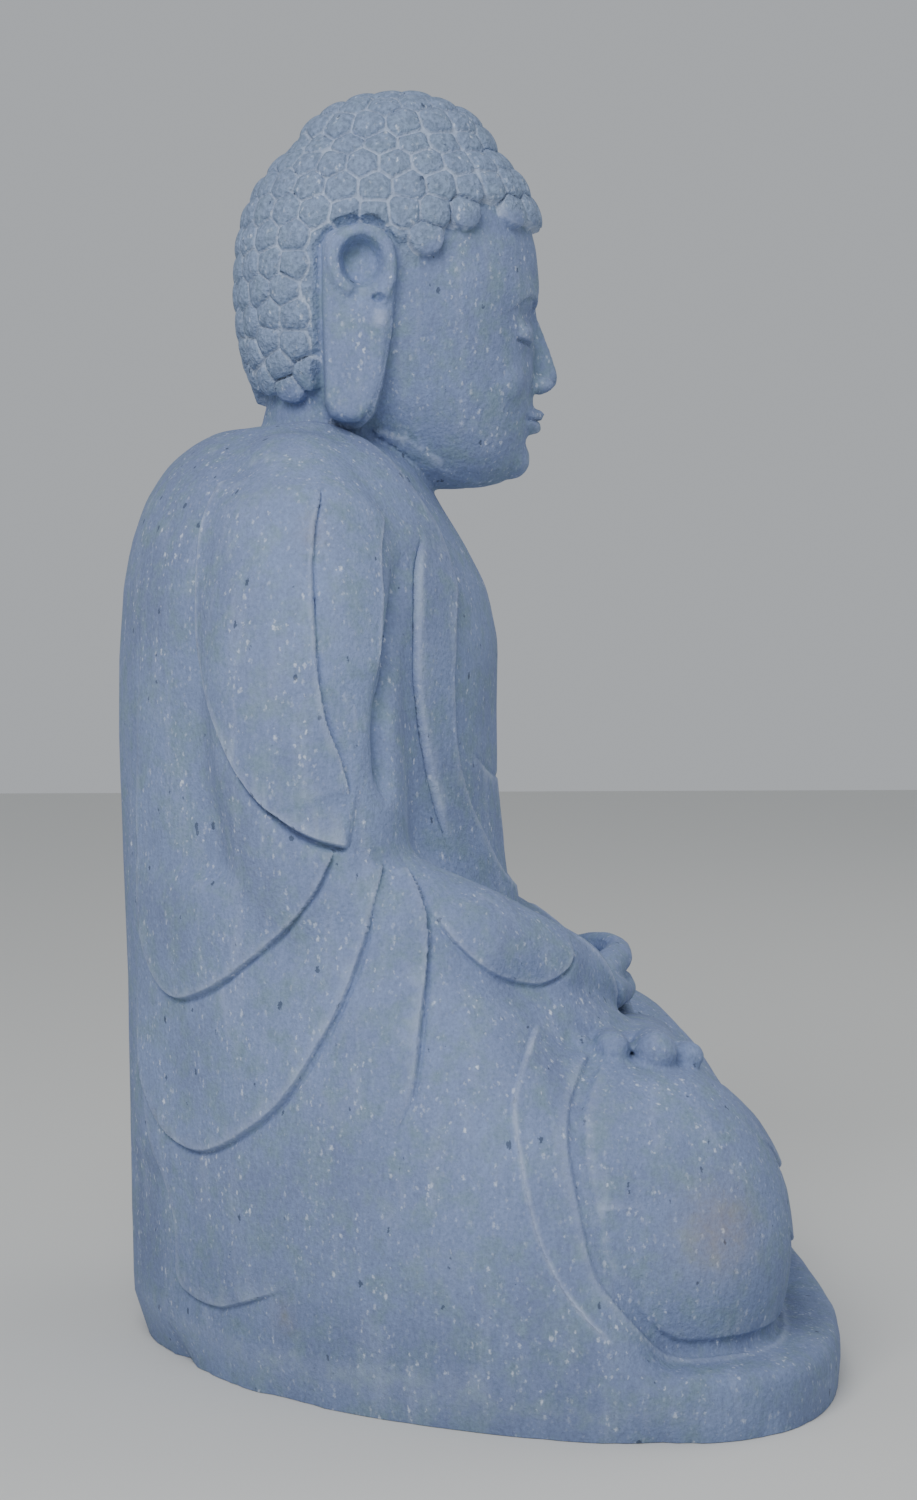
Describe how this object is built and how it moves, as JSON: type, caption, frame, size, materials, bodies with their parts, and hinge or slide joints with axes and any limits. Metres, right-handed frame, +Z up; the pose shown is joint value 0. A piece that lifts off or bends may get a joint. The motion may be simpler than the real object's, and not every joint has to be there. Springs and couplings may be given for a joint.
{
  "type": "seated stone buddha statue",
  "caption": "Garden statue of a buddha seated cross-legged in meditation, in a draped robe, with snail-curl hair and long ears, carved in grey stone together with its low plinth.",
  "frame": {"origin": "middle of the statue's outline on the ground, at the flat underside", "axes": "+Z up, the figure faces -Y, its own right side is at -X"},
  "size_m": [0.7195, 0.5676, 1.0036],
  "materials": {
    "stone": "matt, pecked and rubbed"
  },
  "bodies": {
    "root": {"seated_buddha": "stone"}
  },
  "joints": []
}
